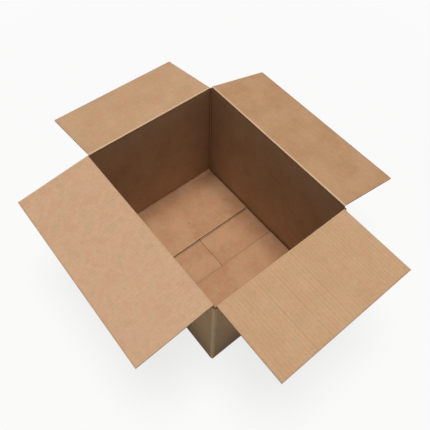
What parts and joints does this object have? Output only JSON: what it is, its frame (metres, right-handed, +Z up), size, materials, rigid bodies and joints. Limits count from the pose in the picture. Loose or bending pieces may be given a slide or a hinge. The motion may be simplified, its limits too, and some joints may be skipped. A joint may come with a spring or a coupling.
{
  "type": "open cardboard box",
  "caption": "Plain corrugated cardboard box standing open, with its top flaps folded out on scored creases and its bottom flaps closed and taped.",
  "frame": {"origin": "on the ground under the middle of the box, in the plane of the bottom flaps' undersides", "axes": "+Z up through the open top, +X along the box's long side, +Y along its short side"},
  "size_m": [0.8145, 0.7097, 0.3466],
  "materials": {
    "board": "uncoated brown kraft liner, matt",
    "tape": "smooth brown packing tape"
  },
  "bodies": {
    "box": {"box_body": "board", "bottom_tape": "tape"},
    "front_flap": {"front_flap": "board"},
    "back_flap": {"back_flap": "board"},
    "left_flap": {"left_flap": "board"},
    "right_flap": {"right_flap": "board"}
  },
  "joints": [
    {"name": "front_crease", "type": "hinge", "parent": "box", "child": "front_flap", "pos_m": [0, -0.18, 0.3446], "axis": [1, 0, 0], "range_deg": [-187.5, 52.5]},
    {"name": "back_crease", "type": "hinge", "parent": "box", "child": "back_flap", "pos_m": [0, 0.18, 0.3446], "axis": [-1, 0, 0], "range_deg": [-195.5, 44.5]},
    {"name": "left_crease", "type": "hinge", "parent": "box", "child": "left_flap", "pos_m": [-0.2305, 0, 0.3403], "axis": [0, -1, 0], "range_deg": [-192, 48]},
    {"name": "right_crease", "type": "hinge", "parent": "box", "child": "right_flap", "pos_m": [0.2305, 0, 0.3403], "axis": [0, 1, 0], "range_deg": [-180.5, 59.5]}
  ]
}
